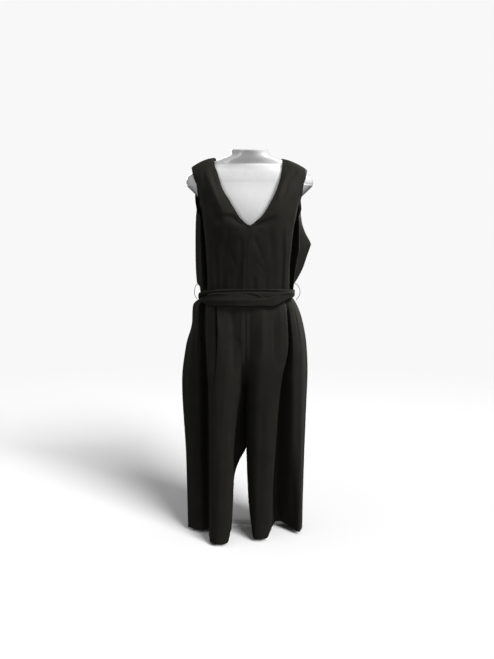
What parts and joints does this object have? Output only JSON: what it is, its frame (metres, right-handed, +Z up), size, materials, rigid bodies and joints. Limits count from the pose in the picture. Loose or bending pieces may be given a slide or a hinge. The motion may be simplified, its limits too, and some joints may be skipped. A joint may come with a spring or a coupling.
{
  "type": "jumpsuit on a limbless dress form",
  "caption": "Sleeveless V-neck jumpsuit with cropped wide legs and a tie belt, worn by a limbless dress form that stands on a rod and a foot plate.",
  "frame": {"origin": "on the floor, under the middle of the whole part's box", "axes": "+Z up; the front of the garment faces -Y; +X is to the right as seen from the front"},
  "size_m": [0.4315, 0.272, 1.27],
  "materials": {
    "crepe": "soft matt black crepe with a faint sheen on the folds",
    "belt_crepe": "the same black crepe, folded double",
    "thread": "chained black thread",
    "form_plastic": "smooth white satin gloss",
    "foot_paint": "satin white powder coat",
    "steel": "brushed"
  },
  "bodies": {
    "root": {"bodice_front": "crepe", "bodice_back_left": "crepe", "bodice_back_right": "crepe", "leg_front_left": "crepe", "leg_front_right": "crepe", "leg_back_left": "crepe", "leg_back_right": "crepe", "belt_band": "belt_crepe", "belt_knot": "belt_crepe", "belt_tail_left": "belt_crepe", "belt_tail_right": "belt_crepe", "belt_loop_left": "thread", "belt_loop_right": "thread", "form_torso": "form_plastic", "stand_foot": "foot_paint", "stand_flange": "steel", "stand_rod": "steel"}
  },
  "joints": []
}
